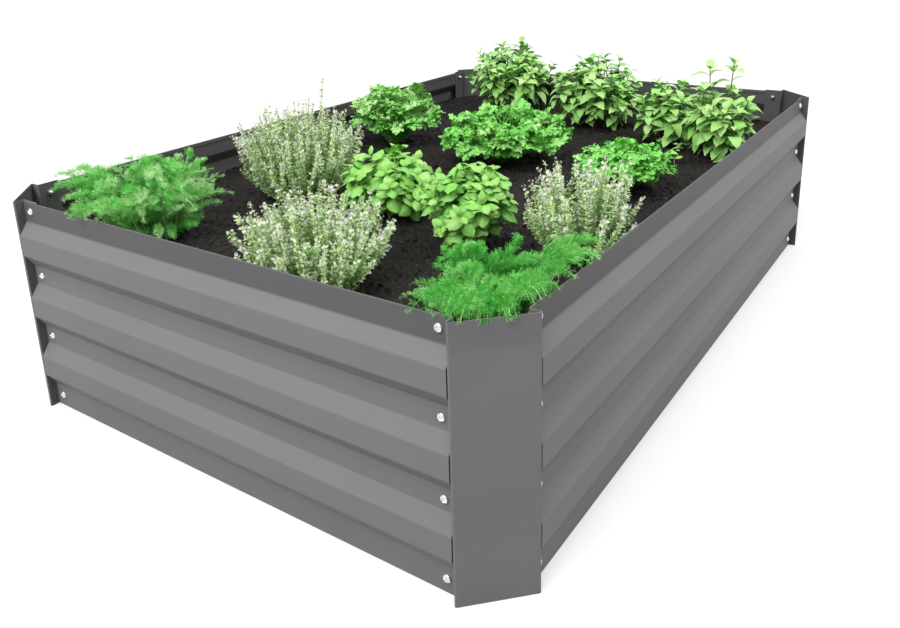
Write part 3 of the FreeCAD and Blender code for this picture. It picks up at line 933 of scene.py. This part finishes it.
def parsley(name, paler=0.0):
    """Low spreading mass of long-stalked leaves, each of six stalks with three cut leaflets."""
    crown = Crown(name)
    rng = crown.rng
    g = Gather()
    shapes = [parsley_leaflet(rng) for _ in range(8)]
    tips = crown.tips(crown.count(185, 90), 2.0, (0.50, 0.98))
    feet = crown.feet(tips, 0.15)
    curves = (feet, crown.middles(feet, tips, 0.42, 0.95, 0.06), tips)
    n = len(tips)
    stems(g, rng, curves, 7, 0.9, 0.5)
    heading = bezier(*curves, np.ones((n, 1)))[1][:, 0]
    outward = unit(heading * (1, 1, 0.2) + rng.normal(0, 0.35, (n, 3)))
    frames = framed(outward, UP + heading * 0.3 + rng.normal(0, 0.3, (n, 3)))
    across, normal = frames[:, :, 1], frames[:, :, 2]
    whole = rng.uniform(0.75, 1.2, n)
    tone = rng.uniform(-0.15, 0.25, n)
    for turn, stalk in ((0.0, 8.0), (1.05, 6.5), (-1.05, 6.5), (0.0, 1.0), (1.9, 4.0), (-1.9, 4.0)):
        aim = outward * math.cos(turn) + across * math.sin(turn) + normal * rng.uniform(-0.3, 0.3, (n, 1))
        aim = unit(aim)
        start = tips + aim * (stalk * whole)[:, None] * MM
        g.tubes(np.stack([tips, start], 1), np.tile((0.5 * MM, 0.4 * MM), (n, 1)), rng.uniform(0, 1, n), 1)
        for fan, size in ((0.0, 9.5), (0.95, 8.0), (-0.95, 8.0)):
            leaf = aim * math.cos(fan) + np.cross(normal, aim) * math.sin(fan) + rng.normal(0, 0.2, (n, 3))
            tint = crown.painted_light(start) * 0.6 + tone + paler + rng.uniform(-0.05, 0.2, n)
            sizes = size * whole * rng.uniform(0.8, 1.2, n)
            strew(g, rng, shapes, start, leaf, normal, sizes, tint, 0, 0.4)
    keep_inside(g)
    stand_in(g, name, name + "_plant", [PARSLEY, PARSLEY_STEM])


def mint(name, sprigs=(), faded=None):
    """Upright dark stems with drooping toothed leaves in crossed pairs; the one nearest to the place
    `faded` (millimetres) has turned yellow."""
    crown = Crown(name)
    rng = crown.rng
    g = Gather()
    shapes = [mint_leaf(rng) for _ in range(8)]
    tips = crown.tips(crown.count(44, 85) + 6, 1.9, (0.60, 1.0))
    feet = crown.feet(tips, 0.50)
    curves = (feet, crown.middles(feet, tips, 0.50, 0.55, 0.06), tips)
    curves = crown.with_sprigs(curves, sprigs, (0.55, 0.55, 0.0), 0.55)
    n = len(curves[0])
    stems(g, rng, curves, 8, 1.5, 0.8, 5)
    length = np.linalg.norm(curves[2] - curves[0], axis=1)[:, None]
    spacing = np.array((0.0, 0.10, 0.24, 0.38, 0.53, 0.68))[None]
    stations = np.clip(1.0 - spacing * (110 * MM / length) ** 0.4, 0.05, 1)
    places, directions, ups = pairs_on(rng, curves, stations, np.array((0.9, 1.2, 1.35, 1.45, 1.5, 1.5)))
    sizes = np.array((21, 28, 31, 31, 29, 25))[None, :, None] * rng.uniform(0.75, 1.15, (n, 6, 2))
    tint = crown.painted_light(places) * 0.55 + rng.uniform(-0.1, 0.4, (n, 6, 2))
    outward = (places - crown.root) / crown.radius
    directions = directions + rng.normal(0, 0.22, directions.shape)
    ups = ups * 0.5 + UP * 0.6 + outward * 0.25
    yellow = np.zeros(sizes.shape, bool)
    if faded:
        yellow.flat[np.linalg.norm(places - np.array(faded) * MM, axis=-1).argmin()] = True
    for kind, slot in ((~yellow, 0), (yellow, 2)):
        strew(g, rng, shapes, places[kind], directions[kind], ups[kind], sizes[kind], tint[kind], slot)
    keep_inside(g)
    stand_in(g, name, name + "_plant", [MINT, MINT_STEM, FADED_LEAF])


def seedlings():
    """Self-sown sprouts on the bare soil: a tuft of narrow leaves and a few two-leaved seedlings."""
    rng = np.random.default_rng(5)
    g = Gather()
    count = 11
    turn = 2.4 * np.arange(count)
    lean = rng.uniform(0.35, 1.0, count)
    aim = np.stack([np.cos(turn) * np.sin(lean), np.sin(turn) * np.sin(lean), np.cos(lean)], -1)
    place = np.tile(np.array(TUFT) * MM, (count, 1))
    strew(g, rng, [blade(0.07, -0.1), blade(0.09, -0.2)], place, aim, UP + aim * 0.2,
          rng.uniform(13, 20, count), rng.uniform(0.7, 1.0, count))
    for x, y in SPROUTS:
        foot = np.array([(x, y, SOIL_TOP - 5)]) * MM
        tip = foot + np.array([rng.normal(0, 4, 3) + (0, 0, 24)]) * MM
        curves = (foot, (foot + tip) / 2 + rng.normal(0, 2, 3) * MM, tip)
        stems(g, rng, curves, 5, 0.7, 0.5)
        places, directions, ups = pairs_on(rng, curves, np.array([(0.55, 0.8, 1.0)]), 1.2)
        strew(g, rng, [mint_leaf(rng), basil_leaf(rng)], places, directions, ups * 0 + UP,
              rng.uniform(8, 14, 6), rng.uniform(0.4, 1.0, 6))
    piece = g.build("seedlings", [BASIL, BASIL_STEM])


# Where the sprouts stand, and where fennel's outermost fronds end, in millimetres.
TUFT = (-484, -130, 233)
SPROUTS = ((158, -242), (110, -277), (113, -247), (287, -242), (196, -262))
OVER_LEFT_RIM = [(-606, 212, 303), (-606, 200, 300), (-604, 166, 310)]
BACK_FRONDS = [(-574, 282, 318), (-538, 329, 322), (-497, 352, 318), (-580, 250, 312), (-556, 308, 316)]
OVER_PLATE = [(-546, -401, 307), (-558, -388, 299), (-568, -379, 297), (-577, -369, 296),
              (-586, -360, 298), (-596, -351, 301), (-605, -342, 305)]
OVER_FRONT_CORNER = [(-594, -334, 300), (-594, -318, 299), (-594, -304, 300),
                     (-527, -396, 306), (-497, -396, 302), (-466, -396, 304),
                     (-433, -396, 306), (-408, -394, 306), (-384, -388, 308)]

fennel("fennel_left", 0.36, OVER_LEFT_RIM + BACK_FRONDS)
fennel("fennel_front", 0.14, OVER_PLATE + OVER_FRONT_CORNER)
thyme("thyme_left")
thyme("thyme_back", [(-205, 150, 412)])
thyme("thyme_front")
basil("basil_left", [(-256, -66, 292), (-266, -72, 276), (-240, -68, 278)])
basil("basil_right", [(-266, -98, 296), (-250, -104, 284), (-280, -100, 280)])
parsley("parsley_back", 0.30)
parsley("parsley_middle", 0.05)
parsley("parsley_front")
mint("mint_back")
mint("mint_middle", faded=(333, -62, 282))
mint("mint_right")
mint("mint_front", [(296, -322, 392), (270, -290, 386)])
seedlings()


# -------------------------------- soil
def compost():
    """Dark moist bark compost: near black, with brown and straw flecks."""
    sh = Shader("compost")
    fleck = sh.noise(170.0, 5.0, 0.65)
    patch = sh.noise(9.0, 3.0)
    dark = sh.ramp(fleck, [(0.38, (0.003, 0.003, 0.003)), (0.56, (0.008, 0.007, 0.006)),
                           (0.76, (0.050, 0.042, 0.036))])
    brown = sh.ramp(fleck, [(0.38, (0.005, 0.004, 0.004)), (0.6, (0.020, 0.015, 0.012)),
                            (0.8, (0.11, 0.085, 0.068))])
    colour = sh.mixed(patch, dark, brown)
    mark = sh.leaf_marks()
    chip = sh.math("POWER", mark["Z"], 3.0)
    colour = sh.mixed(chip, colour, (0.060, 0.046, 0.036, 1))
    rough = sh.spread(fleck, 0.3, 0.62)
    sh.principled(colour, rough, sh.bump(sh.noise(420.0, 4.0), 0.6, 0.0012), Specular_IOR_Level=0.25)
    return sh.owner


# The soil's outline at its top: half length and width, the lines where it is cut back for the posts'
# flanges, and the cut of its corners. Below the topmost rib it is as long and wide as the flanges allow.
SOIL_LONG, SOIL_WIDE = 598.3, 398.3
SOIL_FLANGE_X, SOIL_FLANGE_Y = 585.2, 385.2
SOIL_RUN_X, SOIL_RUN_Y = 507.5, 307.5
SOIL_CUT = 935.5
SOIL_RIB_FOOT, SOIL_FLANK_TOP, SOIL_FOOT = 228.0, 207.0, 0.5
# unevenness of its top: (height, wave length, heading in degrees, start in degrees)
SOIL_WAVES = ((1.3, 470.0, 20.0, 40.0), (1.1, 330.0, 105.0, 200.0), (0.8, 240.0, 65.0, 310.0))


def soil_reach(x):
    """Half the soil's width at each place along the bed."""
    a = np.abs(x)
    wide = np.where(a <= SOIL_RUN_X, SOIL_WIDE, SOIL_FLANGE_Y)
    wide = np.minimum(wide, SOIL_CUT - a)
    return np.where(a > SOIL_FLANGE_X, SOIL_RUN_Y, wide)


def soil_level(x, y):
    """Height of the soil: the broad waves of its solid and the clods on them."""
    level = np.full(np.shape(x), SOIL_TOP)
    for height, length, heading, start in SOIL_WAVES:
        turn = math.radians(heading)
        way = x * math.cos(turn) + y * math.sin(turn)
        level += height * (np.sin(2 * math.pi * way / length + math.radians(start)) - 1)
    rng = np.random.default_rng(11)
    for length, height in ((95.0, 0.7), (52.0, 0.8), (27.0, 0.8), (14.0, 0.6)):
        for _ in range(3):
            turn, start = rng.uniform(0, 2 * np.pi, 2)
            level += height * np.sin((x * np.cos(turn) + y * np.sin(turn)) * 2 * np.pi / length + start)
    return level


def soil_flanks(gather, top, grid):
    """Closes the soil below its top: down to the rib's foot, in to the walls' flats, and to the ground."""
    edge = np.concatenate([grid[:, 0], grid[-1, 1:], grid[-2::-1, -1], grid[0, -2:0:-1]])
    ring = top[edge]
    inner = np.clip(ring, (-SOIL_FLANGE_X, -SOIL_FLANGE_Y, 0), (SOIL_FLANGE_X, SOIL_FLANGE_Y, SOIL_TOP))
    levels = [ring, ring * (1, 1, 0) + UP * SOIL_RIB_FOOT, inner * (1, 1, 0) + UP * SOIL_FLANK_TOP,
              inner * (1, 1, 0) + UP * SOIL_FOOT]
    rings = np.arange(len(levels) * len(edge)).reshape(len(levels), -1)
    sides = np.roll(ring_quads(rings[::-1]), 1, 1)
    front = rings[-1][:len(grid)]
    back = rings[-1][len(grid) + grid.shape[1] - 2:][:len(grid)][::-1]
    foot = np.stack([front[:-1], back[:-1], back[1:], front[1:]], -1)
    points = np.concatenate(levels) * MM
    gather.add(points, np.zeros_like(points), np.concatenate([sides, foot]))


def chip_shape(rng):
    """Flat angular piece of bark."""
    ring = 2 * np.pi * np.arange(6) / 6 + rng.uniform(-0.3, 0.3, 6)
    radius = rng.uniform(0.6, 1.0, 6)
    flat = np.stack([radius * np.cos(ring), radius * np.sin(ring) * rng.uniform(0.35, 0.8)], -1)
    top = np.column_stack([flat * 0.82, rng.uniform(0.12, 0.34, 6)])
    low = np.column_stack([flat, np.full(6, -0.2)])
    i = np.arange(6)
    sides = np.stack([i, (i + 1) % 6, 6 + (i + 1) % 6, 6 + i], -1)
    caps = np.stack([6 + i, 6 + (i + 1) % 6, np.full(6, 12)], -1)
    return np.concatenate([low, top, [(0, 0, 0.3)]]), np.zeros((13, 2)), [sides, caps]


def soil():
    rng = np.random.default_rng(11)
    stations = list(np.arange(-595.0, 596.0, 5.0)) + [-SOIL_LONG, SOIL_LONG]
    for edge in (SOIL_RUN_X, SOIL_FLANGE_X):
        stations += [edge, edge + 0.05, -edge, -edge - 0.05]
    x = np.array(sorted(stations))
    v = np.linspace(-1, 1, 161)
    xx = np.repeat(x[:, None], len(v), 1)
    yy = soil_reach(x)[:, None] * v[None]
    zz = soil_level(xx, yy) + rng.normal(0, 0.7, xx.shape)
    g = Gather()
    top = np.stack([xx, yy, zz], -1).reshape(-1, 3)
    grid = np.arange(xx.size).reshape(xx.shape)
    g.add(top * MM, np.zeros(top.shape), sheet_quads(grid))
    soil_flanks(g, top, grid)

    count = 4800
    px = rng.uniform(-590, 590, count)
    py = rng.uniform(-1, 1, count) * (soil_reach(px) - 6)
    places = np.stack([px, py, soil_level(px, py) + rng.uniform(-0.5, 2.2, count)], -1) * MM
    heading = rng.normal(0, 1, (count, 3)) * (1, 1, 0.35)
    up = rng.normal(0, 0.45, (count, 3)) + UP
    size = np.minimum(np.exp(rng.normal(0.8, 0.5, count)), 6.5)
    chips = [chip_shape(rng) for _ in range(8)]
    strew(g, rng, chips, places, heading, up, size, rng.uniform(0, 1, count))
    stand_in(g, "soil", "soil_surface", [compost()], False)


soil()
